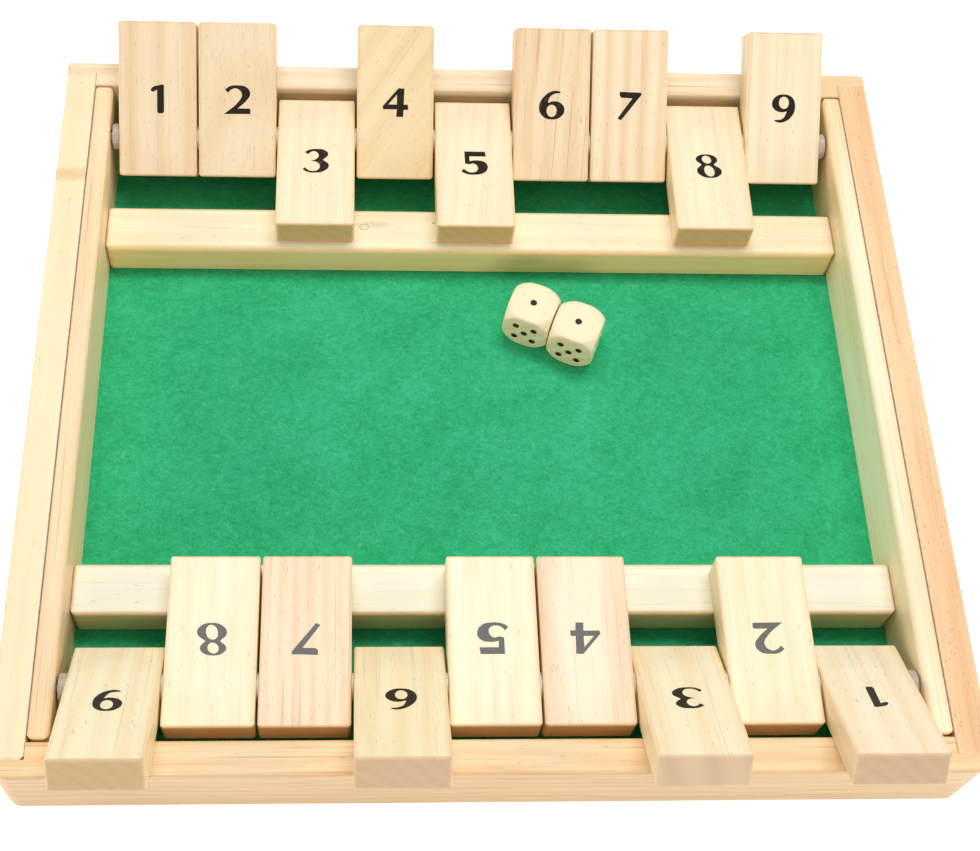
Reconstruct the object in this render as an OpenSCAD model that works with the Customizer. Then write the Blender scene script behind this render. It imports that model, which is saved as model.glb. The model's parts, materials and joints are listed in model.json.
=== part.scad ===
// Shut the box game for two players: a wooden tray with a felt floor, a row of
// nine numbered tiles on a steel rod along each long side, and a pair of dice.
// X runs along the rows, Y from the front player to the back player, Z is up.
// The origin is the middle of the underside.

/* [Frame] */
// Width of the frame, along the tile rows
box_w = 275; // [255:1:300]
// Depth of the frame, from player to player
box_d = 246; // [236:1:270]
// Height of the frame
box_h = 29; // [27:0.5:34]
// Thickness of the four boards
board_t = 10; // [8:0.5:12]
// Radius that eases the edges of the boards
board_ease = 0.8; // [0.4:0.1:1.2]
// Radius of the two upright corners at the front
front_corner_r = 6; // [1:0.5:8]
// Radius of the two upright corners at the back
back_corner_r = 2; // [1:0.5:8]

/* [Floor] */
// Thickness of the plywood base panel
base_t = 3; // [3:0.5:5]
// Thickness of the felt on the panel
felt_t = 1; // [0.8:0.1:1.5]

/* [Rails and rest bars] */
// Thickness of the rail that carries the rods at each end
rail_t = 6; // [5:0.5:8]
// Radius of the rail's upright end edges
rail_end_r = 2; // [1:0.1:2.4]
// Radius of the rail's top edge on the tiles' side
rail_round = 1.6; // [1:0.1:3]
// Radius that eases the rail's other top edges
rail_ease = 0.6; // [0.3:0.1:1]
// Gap between each end of a rail and the board
rail_end_gap = 0.6; // [0.3:0.1:1.5]
// Width of the bar that the flipped tiles rest on
bar_w = 16.3; // [12:0.1:20]
// Height of the bar above the felt
bar_h = 13; // [9:0.1:13.5]
// Distance of the back bar's middle from the back rod
back_bar_offset = 32.9; // [28:0.1:36]
// Distance of the front bar's middle from the front rod
front_bar_offset = 32.1; // [28:0.1:36]
// Radius of the bar's top edge on the felt's side
bar_round = 2.3; // [1:0.1:3.5]
// Radius of the bar's four upright corners
bar_corner_r = 2.6; // [1:0.1:4]
// Radius that eases the bar's other edges
bar_ease = 1.2; // [0.5:0.1:2]

/* [Rods] */
// Diameter of the steel rods
axle_d = 3.5; // [3:0.1:4]
// Distance from the rod to the inner face of the nearest board
axle_inset = 16.8; // [16:0.1:19]
// Distance from the top of the frame down to the rod
axle_drop = 6.3; // [6:0.1:8]

/* [Tiles] */
// Length of a tile
tile_l = 51; // [46:0.5:54]
// Thickness of a tile
tile_t = 10; // [9:0.1:10.5]
// Distance from the rod to the short end of a tile
tile_heel = 13; // [11:0.5:14]
// Gap between neighbouring tiles
tile_gap = 0.7; // [0.4:0.1:1]
// Gap between an end tile and its rail
row_end_gap = 3; // [2.7:0.1:4]
// Radius that eases the edges of a tile
tile_ease = 0.6; // [0.3:0.1:1]
// Radius of a tile's four corners
tile_corner = 1.3; // [0.8:0.1:2]

/* [Spacers and washers] */
// Thickness of the plastic spacers at the ends of a row
spacer_t = 2.4; // [1.6:0.1:2.6]
// Outer diameter of the plastic spacers
spacer_d = 8.6; // [7:0.1:9.5]
// Outer diameter of the thin washers
washer_d = 8; // [6:0.1:9]

/* [Dice] */
// Edge length of a die
die_edge = 15.4; // [14:0.1:18]
// Radius of the ball that rounds a die's corners
die_ball_r = 10.8; // [10.5:0.1:12]
// Diameter of a pip
pip_d = 2.2; // [1.6:0.1:2.8]
// Depth of a pip
pip_depth = 0.6; // [0.3:0.1:0.9]
// Distance of the outer pips from the middle of a face
pip_offset = 3.05; // [2.8:0.05:4]

/* [Hidden] */
$fn = 48;

tile_count = 9;
// Tiles that lie flipped inward on the rest bar; the others lean on the frame
back_flipped = [3, 5, 8];
front_flipped = [2, 4, 5, 7, 8];

// Middle of each die on the felt and its turn about Z
left_die_at = [18.3, 33.8];
right_die_at = [32.5, 26.8];
dice_turn = -22;

fit_gap = 0.2;        // the glued panels' gap inside the frame
stop_gap = 0.1;       // left between a tile at rest and what stops it
side_gap = 0.05;      // beside a spacer or washer, each way
bore_gap = 0.05;      // running fit on a rod, all round
cut = 1;              // how far a cutter runs past a face

inner_w = box_w - 2 * board_t;
inner_d = box_d - 2 * board_t;
lip = board_t / 2;                   // left outside the notch at a board's end
rebate = 4;                          // shelf for the base panel in the boards
floor_z = base_t + felt_t;
side_board_l = box_d - 2 * lip;
rail_l = inner_d - 2 * rail_end_gap;
span = inner_w - 2 * rail_t;         // between the two rails

axle_y = inner_d / 2 - axle_inset;
axle_z = box_h - axle_drop;
axle_l = inner_w - 2 * fit_gap;

tile_w = (span - 2 * row_end_gap - (tile_count - 1) * tile_gap) / tile_count;
tile_pitch = tile_w + tile_gap;
bore_d = axle_d + 2 * bore_gap;
washer_t = tile_gap - 2 * side_gap;
spacer_ease = 0.4;
washer_ease = 0.1;
rod_chamfer = 0.4;
chip = 1.8;                          // side of the chip in the left board's corner
chip_depth = 9;                      // how far down it runs

bar_top = floor_z + bar_h;

// A leaning tile's underside touches the eased inner edge of the board
edge_y = axle_inset + board_ease;
edge_z = axle_drop - board_ease;
lean = atan2(edge_z, edge_y)
     + asin((tile_t / 2 + board_ease + stop_gap) / norm([edge_y, edge_z]));
// A flipped tile's eased end edge touches the top of the rest bar
toe_y = tile_l - tile_heel - tile_ease;
toe_z = tile_t / 2 - tile_ease;
flipped = 180 - atan2(toe_z, toe_y)
        + asin((axle_z - bar_top - tile_ease - stop_gap) / norm([toe_y, toe_z]));

mouth_d = axle_d + 2;                // countersink of the rail's bores
mouth_depth = 1.5;
// A pip is cut by a ball that stands partly out of the face
pip_r = (pow(pip_d / 2, 2) + pow(pip_depth, 2)) / (2 * pip_depth);

// Rectangle with round corners, centred
module round_rect(size, r) {
    square([size.x - 2 * r, size.y], center = true);
    square([size.x, size.y - 2 * r], center = true);
    for (x = [-1, 1], y = [-1, 1])
        translate([x * (size.x / 2 - r), y * (size.y / 2 - r)]) circle(r);
}

// Block with round upright corners (plan_r) and eased edges along X and Y
module eased_block(size, plan_r, x_edge_r, y_edge_r) {
    intersection() {
        linear_extrude(size.z, center = true)
            round_rect([size.x, size.y], plan_r);
        rotate([90, 0, 90]) linear_extrude(size.x, center = true)
            round_rect([size.y, size.z], x_edge_r);
        rotate([90, 0, 0]) linear_extrude(size.y, center = true)
            round_rect([size.x, size.z], y_edge_r);
    }
}

// Block that stands on Z = 0 with square bottom edges and round top edges
module standing_block(size, plan_r, edge_r) {
    intersection() {
        translate([0, 0, (size.z - edge_r) / 2])
            eased_block([size.x, size.y, size.z + edge_r], plan_r, edge_r, edge_r);
        translate([0, 0, size.z / 2])
            cube([size.x + cut, size.y + cut, size.z], center = true);
    }
}

// Outline of the whole frame, with its round corners
module frame_outline() {
    translate([0, (front_corner_r - back_corner_r) / 2])
        square([box_w, box_d - front_corner_r - back_corner_r], center = true);
    for (side = [[-1, front_corner_r], [1, back_corner_r]]) {
        r = side[1];
        translate([0, side[0] * (box_d / 2 - r)]) {
            square([box_w - 2 * r, 2 * r], center = true);
            for (x = [-1, 1]) translate([x * (box_w / 2 - r), 0]) circle(r);
        }
    }
}

// Space of the base panel, cut as a rebate along the foot of each board
module base_rebate() {
    translate([0, 0, (base_t - cut) / 2])
        cube([inner_w + 2 * rebate, inner_d + 2 * rebate, base_t + cut], center = true);
}

// Spaces of the two side boards, which make the notches in the long boards
module side_board_spaces() {
    for (x = [-1, 1])
        translate([x * (inner_w + board_t + cut) / 2, 0, box_h / 2])
            cube([board_t + cut, side_board_l, box_h + 2 * cut], center = true);
}

// y is -1 for the front board and 1 for the back one
module long_board(y) {
    difference() {
        intersection() {
            translate([0, y * (box_d - board_t) / 2, box_h / 2]) rotate([90, 0, 90])
                linear_extrude(box_w, center = true) round_rect([board_t, box_h], board_ease);
            translate([0, 0, box_h / 2]) rotate([90, 0, 0])
                linear_extrude(box_d, center = true) round_rect([box_w, box_h], board_ease);
            linear_extrude(box_h) frame_outline();
        }
        side_board_spaces();
        base_rebate();
    }
}

// x is -1 for the left board and 1 for the right one
module side_board(x) {
    difference() {
        intersection() {
            translate([x * (box_w - board_t) / 2, 0, box_h / 2])
                rotate([90, 0, 0]) linear_extrude(side_board_l, center = true)
                    round_rect([board_t, box_h], board_ease);
            linear_extrude(box_h) frame_outline();
        }
        base_rebate();
    }
}

module front_board() {
    color("burlywood") long_board(-1);
}

module back_board() {
    color("wheat") long_board(1);
}

// Its front inner corner is chipped where it meets the front board
module left_board() {
    color("cornsilk") difference() {
        side_board(-1);
        translate([-inner_w / 2, -side_board_l / 2, box_h])
            rotate([0, 0, 45]) cube([chip, chip, 2 * chip_depth], center = true);
    }
}

module right_board() {
    color("navajowhite") side_board(1);
}

module base_panel() {
    color("tan") translate([0, 0, base_t / 2])
        cube([inner_w + 2 * (rebate - fit_gap), inner_d + 2 * (rebate - fit_gap), base_t],
             center = true);
}

module felt_lining() {
    color("seagreen") translate([0, 0, base_t + felt_t / 2])
        cube([inner_w - 2 * fit_gap, inner_d - 2 * fit_gap, felt_t], center = true);
}

// Cross-section of the left rail: its top edge is round on the tiles' side
module rail_section(height) {
    translate([-rail_t / 2, 0]) square([rail_t, height - rail_round]);
    translate([-rail_t / 2, 0]) square([rail_t - rail_round, height]);
    translate([rail_t / 2 - rail_round, height - rail_round]) circle(rail_round);
}

// Rail at the left end of the rows, with a countersunk bore for each rod
module left_rail_blank() {
    height = box_h - floor_z;
    difference() {
        translate([(rail_t - inner_w) / 2, 0, floor_z]) intersection() {
            standing_block([rail_t, rail_l, height], rail_end_r, rail_ease);
            rotate([90, 0, 0]) linear_extrude(rail_l, center = true) rail_section(height);
        }
        for (y = [-axle_y, axle_y])
            translate([-span / 2, y, axle_z]) rotate([0, -90, 0]) {
                translate([0, 0, -cut]) cylinder(d = axle_d, h = rail_t + 2 * cut);
                cylinder(d1 = mouth_d, d2 = axle_d, h = mouth_depth);
            }
    }
}

module left_axle_rail() {
    color("bisque") left_rail_blank();
}

module right_axle_rail() {
    color("blanchedalmond") rotate([0, 0, 180]) left_rail_blank();
}

// Bar of a row, as the back row has it; the edge on the felt's side is the roundest
module rest_bar_blank(offset) {
    translate([0, axle_y - offset, floor_z]) intersection() {
        translate([0, 0, bar_h / 2])
            eased_block([span, bar_w, bar_h], bar_corner_r, bar_ease, bar_ease);
        rotate([90, 0, 90]) linear_extrude(span, center = true)
            translate([bar_round / 2, (bar_h - bar_round) / 2])
                round_rect([bar_w + bar_round, bar_h + bar_round], bar_round);
    }
}

module back_rest_bar() {
    color("cornsilk") rest_bar_blank(back_bar_offset);
}

module front_rest_bar() {
    color("cornsilk") rotate([0, 0, 180]) rest_bar_blank(front_bar_offset);
}

// Steel rod with chamfered ends; y is -1 for the front row and 1 for the back row
module axle(y) {
    r = axle_d / 2;
    end = axle_l / 2;
    color("silver") translate([0, y * axle_y, axle_z]) rotate([0, 90, 0])
        rotate_extrude()
            polygon([[0, -end], [r - rod_chamfer, -end], [r, rod_chamfer - end],
                     [r, end - rod_chamfer], [r - rod_chamfer, end], [0, end]]);
}

// Ring on a rod: its bore runs freely and its outer edges are round
module ring(outer_d, thickness, ease) {
    wall = (outer_d - bore_d) / 2;
    rotate([0, 90, 0]) rotate_extrude()
        translate([(outer_d + bore_d) / 4, 0]) round_rect([wall, thickness], ease);
}

// It sits next to the end tile and leaves a little of the rod bare beside the rail
module spacer(x, y) {
    from_rail = row_end_gap - side_gap - spacer_t / 2;
    color("whitesmoke") translate([x * (span / 2 - from_rail), y * axle_y, axle_z])
        ring(spacer_d, spacer_t, spacer_ease);
}

// The thin washers between the tiles of one row
module washers(y) {
    color("white") for (i = [1:tile_count - 1])
        translate([(i - tile_count / 2) * tile_pitch, y * axle_y, axle_z])
            ring(washer_d, washer_t, washer_ease);
}

// Tile about its rod: the long end points to +Y and the short end is the heel
module tile() {
    difference() {
        translate([0, tile_l / 2 - tile_heel, 0])
            eased_block([tile_w, tile_l, tile_t], tile_corner, tile_ease, tile_ease);
        rotate([0, 90, 0]) cylinder(d = bore_d, h = tile_w + 2 * cut, center = true);
    }
}

function tile_x(n) = (n - (tile_count + 1) / 2) * tile_pitch;

// Tile n of a row as its players left it: leaning on the frame, or flipped inward
module placed_tile(n, flipped_ones) {
    turn = len([for (f = flipped_ones) if (f == n) f]) > 0 ? flipped : lean;
    translate([tile_x(n), axle_y, axle_z]) rotate([turn, 0, 0]) tile();
}

module back_tile(n) {
    color("wheat") placed_tile(n, back_flipped);
}

// The front row is the back row turned about Z, so it reads from the other side
module front_tile(n) {
    color("bisque") rotate([0, 0, 180]) placed_tile(n, front_flipped);
}

// Turn that brings a die's top to the side of each value, from 1 to 6
die_sides = [[0, 0, 0], [-90, 0, 0], [0, -90, 0], [0, 90, 0], [90, 0, 0], [180, 0, 0]];

// Places of the pips for a value, in steps of pip_offset
function pips(n) = concat(
    n % 2 == 1 ? [[0, 0]] : [],
    n > 1 ? [[-1, 1], [1, -1]] : [],
    n > 3 ? [[1, 1], [-1, -1]] : [],
    n == 6 ? [[-1, 0], [1, 0]] : []);

module die(at) {
    color("oldlace") translate([at.x, at.y, floor_z + die_edge / 2])
        rotate([0, 0, dice_turn]) difference() {
            intersection() {
                cube(die_edge, center = true);
                sphere(r = die_ball_r);
            }
            for (n = [1:6], p = pips(n))
                rotate(die_sides[n - 1])
                    translate([p.x * pip_offset, p.y * pip_offset, die_edge / 2 - pip_depth + pip_r])
                        sphere(r = pip_r);
        }
}

front_board();
back_board();
left_board();
right_board();
base_panel();
felt_lining();
left_axle_rail();
right_axle_rail();
front_rest_bar();
back_rest_bar();
axle(-1);  // front_axle
axle(1);  // back_axle
back_tile(1);  // back_tile_1
back_tile(2);  // back_tile_2
back_tile(3);  // back_tile_3
back_tile(4);  // back_tile_4
back_tile(5);  // back_tile_5
back_tile(6);  // back_tile_6
back_tile(7);  // back_tile_7
back_tile(8);  // back_tile_8
back_tile(9);  // back_tile_9
front_tile(1);  // front_tile_1
front_tile(2);  // front_tile_2
front_tile(3);  // front_tile_3
front_tile(4);  // front_tile_4
front_tile(5);  // front_tile_5
front_tile(6);  // front_tile_6
front_tile(7);  // front_tile_7
front_tile(8);  // front_tile_8
front_tile(9);  // front_tile_9
spacer(-1, 1);  // back_left_spacer
spacer(1, 1);  // back_right_spacer
spacer(-1, -1);  // front_left_spacer
spacer(1, -1);  // front_right_spacer
washers(1);  // back_washers
washers(-1);  // front_washers
die(left_die_at);  // left_die
die(right_die_at);  // right_die
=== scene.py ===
"""Shut the box: a wooden tray with a felt floor, two rows of numbered tiles on rods, and two dice."""

import json
import math

import bmesh
import bpy
from mathutils import Euler, Matrix, Vector, noise


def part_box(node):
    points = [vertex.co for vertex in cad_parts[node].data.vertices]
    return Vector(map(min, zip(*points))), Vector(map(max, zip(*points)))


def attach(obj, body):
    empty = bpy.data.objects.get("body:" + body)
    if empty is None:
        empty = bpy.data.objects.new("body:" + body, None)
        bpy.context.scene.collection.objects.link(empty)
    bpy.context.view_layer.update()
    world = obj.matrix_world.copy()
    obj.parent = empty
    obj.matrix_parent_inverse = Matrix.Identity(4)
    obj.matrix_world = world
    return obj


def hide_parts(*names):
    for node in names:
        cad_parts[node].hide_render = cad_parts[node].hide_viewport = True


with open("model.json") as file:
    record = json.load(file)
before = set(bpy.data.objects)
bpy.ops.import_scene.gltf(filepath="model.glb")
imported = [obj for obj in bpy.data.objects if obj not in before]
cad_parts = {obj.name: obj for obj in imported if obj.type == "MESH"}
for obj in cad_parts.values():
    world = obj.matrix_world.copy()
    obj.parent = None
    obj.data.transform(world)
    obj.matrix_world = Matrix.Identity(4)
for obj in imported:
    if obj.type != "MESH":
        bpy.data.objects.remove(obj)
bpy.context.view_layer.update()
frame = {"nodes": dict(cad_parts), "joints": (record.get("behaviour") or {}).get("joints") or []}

MM = 0.001
ROWS = ("back", "front")
NUMBERS = range(1, 10)

# The tiles as the solids have them: a rod hole near one end, and two angles of rest
TILE_LENGTH = 51 * MM
TILE_THICKNESS = 10 * MM
TILE_HEEL = 13 * MM
LEANING = math.radians(36.015)
FLIPPED = math.radians(180.92)
FLIPPED_TILES = {"back": (3, 5, 8), "front": (2, 4, 5, 7, 8)}
joint_places = {joint["name"]: Vector(joint.get("pos_m", (0, 0, 0))) for joint in frame["joints"]}


def srgb(red, green, blue):
    """A colour given in the 0 to 255 steps of a colour picker, as the linear colour that shaders use."""
    steps = [value / 255 for value in (red, green, blue)]
    linear = [s / 12.92 if s <= 0.04045 else ((s + 0.055) / 1.055) ** 2.4 for s in steps]
    return (*linear, 1.0)


# ---------------------------------------------------------------- node helpers


def add_node(tree, kind, inputs=None, **settings):
    """Adds a node. An input is a plain value or the output socket of another node."""
    node = tree.nodes.new(kind)
    for option, value in settings.items():
        setattr(node, option, value)
    for socket, value in (inputs or {}).items():
        if isinstance(value, bpy.types.NodeSocket):
            tree.links.new(value, node.inputs[socket])
        else:
            node.inputs[socket].default_value = value
    return node


def maths(tree, operation, *values):
    return add_node(tree, "ShaderNodeMath", dict(enumerate(values)), operation=operation).outputs[0]


def vector_maths(tree, operation, *values):
    return add_node(tree, "ShaderNodeVectorMath", dict(enumerate(values)), operation=operation).outputs[0]


def length_of(tree, vector):
    return add_node(tree, "ShaderNodeVectorMath", {0: vector}, operation="LENGTH").outputs["Value"]


def ramp(tree, value, start, end):
    """0 up to start, 1 from end on, and a smooth rise between."""
    limits = {"Value": value, "From Min": start, "From Max": end}
    return add_node(tree, "ShaderNodeMapRange", limits, interpolation_type="SMOOTHSTEP").outputs[0]


def falling_ramp(tree, value, start, end):
    return maths(tree, "SUBTRACT", 1.0, ramp(tree, value, start, end))


def mix_colour(tree, factor, first, second, blend="MIX"):
    inputs = {"Factor": factor, 6: first, 7: second}
    return add_node(tree, "ShaderNodeMix", inputs, data_type="RGBA", blend_type=blend).outputs[2]


def stretched_noise(tree, position, stretch, detail=2.0, roughness=0.5):
    """Noise whose blotches have the sizes 1/stretch, in metres, along each axis."""
    place = vector_maths(tree, "MULTIPLY", position, stretch)
    inputs = {"Vector": place, "Scale": 1.0, "Detail": detail, "Roughness": roughness}
    return add_node(tree, "ShaderNodeTexNoise", inputs).outputs[0]


def new_group(name, inputs, outputs):
    """An empty shader node group, its input sockets to read from and its output sockets to fill."""
    tree = bpy.data.node_groups.new(name, "ShaderNodeTree")
    for socket, kind in inputs.items():
        tree.interface.new_socket(socket, in_out="INPUT", socket_type="NodeSocket" + kind)
    for socket, kind in outputs.items():
        tree.interface.new_socket(socket, in_out="OUTPUT", socket_type="NodeSocket" + kind)
    return tree, tree.nodes.new("NodeGroupInput").outputs, tree.nodes.new("NodeGroupOutput").inputs


def place_group(tree, group, inputs):
    """Places a node group in a material and returns its outputs."""
    node = tree.nodes.new("ShaderNodeGroup")
    node.node_tree = group
    for socket, value in inputs.items():
        if isinstance(value, bpy.types.NodeSocket):
            tree.links.new(value, node.inputs[socket])
        else:
            node.inputs[socket].default_value = value
    return node.outputs


# ---------------------------------------------------------------- shared effects


def make_wood_grain():
    """Sanded wood with its fibres along Y: growth rings round a pith, fibre streaks, dark lines and pores."""
    tree, given, made = new_group(
        "Sanded wood",
        {
            "Position": "Vector",
            "Turn": "Vector",
            "Pith": "Vector",
            "Seed": "Float",
            "Pale": "Color",
            "Dark": "Color",
            "Pore Colour": "Color",
            "Ring Spacing": "Float",
            "Rings": "Float",
            "Wander": "Float",
            "Streaks": "Float",
            "Streaks Per Metre": "Vector",
            "Clouds": "Float",
            "Lines": "Float",
            "Pores": "Float",
            "Pores Per Metre": "Vector",
        },
        {"Colour": "Color", "Late Wood": "Float", "Height": "Float", "Roughness": "Float"},
    )
    turned = {"Vector": given["Position"], "Rotation": given["Turn"]}
    position = add_node(tree, "ShaderNodeVectorRotate", turned, rotation_type="EULER_XYZ").outputs[0]
    shift = vector_maths(tree, "MULTIPLY", given["Seed"], (0.37, 0.11, 0.23))
    seeded = vector_maths(tree, "ADD", position, shift)

    # Growth rings: the distance from the pith, which wanders a little along the piece
    from_pith = vector_maths(tree, "SUBTRACT", position, given["Pith"])
    across = vector_maths(tree, "MULTIPLY", from_pith, (1, 0, 1))
    wander = stretched_noise(tree, seeded, (30, 11, 30), detail=3)
    ring_place = maths(tree, "MULTIPLY_ADD", wander, given["Wander"], length_of(tree, across))
    turns = maths(tree, "DIVIDE", ring_place, given["Ring Spacing"])
    wave = maths(tree, "SINE", maths(tree, "MULTIPLY", turns, 2 * math.pi))
    late_wood = maths(tree, "POWER", maths(tree, "MULTIPLY_ADD", wave, 0.5, 0.5), 1.5)

    # Fibre streaks, wide soft clouds, and long thin dark lines
    streak = stretched_noise(tree, seeded, given["Streaks Per Metre"], detail=4, roughness=0.7)
    clouds = stretched_noise(tree, seeded, (60, 10, 60), detail=2)
    line_noise = stretched_noise(tree, seeded, (1500, 17, 1500), detail=1)
    lines = maths(tree, "MULTIPLY", ramp(tree, line_noise, 0.61, 0.73), given["Lines"])

    # Pores: one to a cell, in a patchy share of the cells, some fainter than others
    pore_place = vector_maths(tree, "MULTIPLY", seeded, given["Pores Per Metre"])
    pore_cells = add_node(tree, "ShaderNodeTexVoronoi", {"Vector": pore_place, "Scale": 1.0})
    draw = add_node(tree, "ShaderNodeSeparateColor", {0: pore_cells.outputs["Color"]}).outputs
    patches = ramp(tree, stretched_noise(tree, seeded, (170, 35, 170), detail=2), 0.36, 0.64)
    share = maths(tree, "MULTIPLY", maths(tree, "MULTIPLY_ADD", patches, 0.85, 0.15), given["Pores"])
    chosen = maths(tree, "LESS_THAN", draw[0], share)
    strength = maths(tree, "MULTIPLY_ADD", draw[1], 0.5, 0.15)
    near_middle = falling_ramp(tree, pore_cells.outputs["Distance"], 0.08, 0.3)
    pores = maths(tree, "MULTIPLY", maths(tree, "MULTIPLY", near_middle, chosen), strength)

    # The tone goes from pale to dark, and the rings, streaks and clouds move it either way
    tone = maths(tree, "MULTIPLY_ADD", maths(tree, "SUBTRACT", late_wood, 0.42), given["Rings"], 0.35)
    tone = maths(tree, "MULTIPLY_ADD", maths(tree, "SUBTRACT", streak, 0.5), given["Streaks"], tone)
    tone = maths(tree, "MULTIPLY_ADD", maths(tree, "SUBTRACT", clouds, 0.5), given["Clouds"], tone)
    tone = add_node(tree, "ShaderNodeClamp", {0: tone}).outputs[0]
    wood = mix_colour(tree, tone, given["Pale"], given["Dark"])
    marked = maths(tree, "MAXIMUM", pores, lines)
    tree.links.new(mix_colour(tree, marked, wood, given["Pore Colour"]), made["Colour"])

    tree.links.new(late_wood, made["Late Wood"])
    height = maths(tree, "MULTIPLY_ADD", marked, -1.0, maths(tree, "MULTIPLY", streak, 0.35))
    tree.links.new(height, made["Height"])
    gloss = maths(tree, "MULTIPLY_ADD", streak, 0.16, maths(tree, "MULTIPLY_ADD", marked, 0.2, 0.36))
    tree.links.new(gloss, made["Roughness"])
    return tree


def make_wear_and_shade_masks():
    """Masks for a box-shaped piece: its edges, for rubbing wear and painted shade, its two X sides, for
    painted shade, its +Y end and its -Y end.
    """
    tree, given, made = new_group(
        "Wear and painted shade masks",
        {"Position": "Vector", "Half Size": "Vector", "Width": "Float"},
        {"Edge": "Float", "Side": "Float", "End": "Float", "Heel": "Float"},
    )
    from_middle = vector_maths(tree, "ABSOLUTE", given["Position"])
    inward = vector_maths(tree, "SUBTRACT", given["Half Size"], from_middle)
    x, y, z = add_node(tree, "ShaderNodeSeparateXYZ", {0: inward}).outputs

    # On a face, the middle one of the three depths is the distance to the nearest edge
    smallest = maths(tree, "MINIMUM", x, maths(tree, "MINIMUM", y, z))
    largest = maths(tree, "MAXIMUM", x, maths(tree, "MAXIMUM", y, z))
    total = maths(tree, "ADD", x, maths(tree, "ADD", y, z))
    to_edge = maths(tree, "SUBTRACT", maths(tree, "SUBTRACT", total, smallest), largest)
    # The edge band varies in width; its tint is partly rubbing wear and partly painted shade
    edge_wobble = stretched_noise(tree, given["Position"], (300, 120, 300), detail=2)
    width = maths(tree, "MULTIPLY", given["Width"], maths(tree, "MULTIPLY_ADD", edge_wobble, 1.4, 0.3))
    tree.links.new(falling_ramp(tree, to_edge, 0.0, width), made["Edge"])

    # The X sides, which the wood material darkens as painted shade
    tree.links.new(falling_ramp(tree, x, 0.0003, 0.0016), made["Side"])
    # The ends; the tiles get painted shade on their -Y end, the heel
    both_ends = falling_ramp(tree, y, 0.0002, 0.0009)
    along = add_node(tree, "ShaderNodeSeparateXYZ", {0: given["Position"]}).outputs[1]
    heel = maths(tree, "MULTIPLY", both_ends, maths(tree, "LESS_THAN", along, 0.0))
    tree.links.new(maths(tree, "SUBTRACT", both_ends, heel), made["End"])
    tree.links.new(heel, made["Heel"])
    return tree


def make_wood_mark():
    """Masks for one natural mark in the wood, such as a pin knot: the whole blot and the line round it."""
    tree, given, made = new_group(
        "Wood mark",
        {"Position": "Vector", "Middle": "Vector", "Reach": "Vector"},
        {"Blot": "Float", "Rim": "Float"},
    )
    offset = vector_maths(tree, "SUBTRACT", given["Position"], given["Middle"])
    apart = vector_maths(tree, "DIVIDE", offset, given["Reach"])
    ragged = stretched_noise(tree, given["Position"], (900, 900, 900), detail=3)
    distance = maths(tree, "MULTIPLY_ADD", maths(tree, "SUBTRACT", ragged, 0.5), 0.9, length_of(tree, apart))
    tree.links.new(falling_ramp(tree, distance, 0.2, 1.1), made["Blot"])
    from_rim = maths(tree, "ABSOLUTE", maths(tree, "SUBTRACT", distance, 0.7))
    tree.links.new(falling_ramp(tree, from_rim, 0.03, 0.22), made["Rim"])
    return tree


wood_grain = make_wood_grain()
wear_and_shade_masks = make_wear_and_shade_masks()
wood_mark = make_wood_mark()


# ---------------------------------------------------------------- materials


def new_material(name, **shader_values):
    """A material with a Principled shader, whose plain values are set on its own sockets."""
    material = bpy.data.materials.new(name)
    material.use_nodes = True
    tree = material.node_tree
    shader = tree.nodes["Principled BSDF"]
    for socket, value in shader_values.items():
        shader.inputs[socket.replace("_", " ")].default_value = value
    return material, tree, shader


def position_on_piece(tree, place):
    """The point on the piece, measured from the piece's own middle along its own axes."""
    coordinates = tree.nodes.new("ShaderNodeTexCoord").outputs["Object"]
    inputs = {"Vector": coordinates, "Location": place.to_translation(), "Rotation": place.to_euler("XYZ")}
    return add_node(tree, "ShaderNodeMapping", inputs, vector_type="TEXTURE").outputs[0]


def raise_surface(tree, shader, height, depth):
    bump = add_node(tree, "ShaderNodeBump", {"Height": height, "Distance": depth, "Strength": 1.0})
    tree.links.new(bump.outputs[0], shader.inputs["Normal"])


# Width of the edge tint: partly rubbing wear, partly painted shade and highlight on the rounded edges
EDGE_TINT_WIDTH = 1.2 * MM
GRAIN_DEPTH = 0.05 * MM

# How many pores and streaks there are in a metre, across and along the fibres
LONG_PORES = (2300, 250, 2300)
SHORT_PORES = (2300, 460, 2300)
COARSE_PORES = (1500, 420, 1500)
LONG_STREAKS = (1100, 20, 1100)
SHORT_STREAKS = (900, 45, 900)

# What a wooden piece has unless it says otherwise.
# Each of its marks has a middle, a reach, a mask, a strength and a colour.
WOOD_LOOK = {
    "pale": srgb(252, 232, 196),
    "dark": srgb(238, 202, 152),
    "pore": srgb(168, 120, 78),
    # The edge tint is partly rubbing wear and partly painted shade and highlight
    "edge": srgb(238, 192, 138),
    # The side tint is painted shade on the X sides
    "side": srgb(236, 206, 150),
    "end": srgb(234, 204, 160),
    "end_ring": srgb(214, 176, 126),
    # A heel tint is painted shade on the -Y end; None leaves end grain there
    "heel": None,
    "turn": (0.0, 0.0, 0.0),
    "pith": (0.03, 0.0, -0.04),
    "ring_spacing": 0.004,
    "rings": 0.4,
    "wander": 0.006,
    "streaks": 0.9,
    "streaks_per_metre": SHORT_STREAKS,
    "clouds": 1.2,
    "lines": 0.15,
    "pores": 0.25,
    "pores_per_metre": LONG_PORES,
    "edge_share": 0.45,
    "side_share": 0.0,
    "end_share": 0.8,
    "marks": (),
}


def grain_values(position, seed, look):
    """The inputs of the wood grain group for one piece."""
    return {
        "Position": position,
        "Turn": look["turn"],
        "Pith": look["pith"],
        "Seed": seed,
        "Pale": look["pale"],
        "Dark": look["dark"],
        "Pore Colour": look["pore"],
        "Ring Spacing": look["ring_spacing"],
        "Rings": look["rings"],
        "Wander": look["wander"],
        "Streaks": look["streaks"],
        "Streaks Per Metre": look["streaks_per_metre"],
        "Clouds": look["clouds"],
        "Lines": look["lines"],
        "Pores": look["pores"],
        "Pores Per Metre": look["pores_per_metre"],
    }


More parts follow.
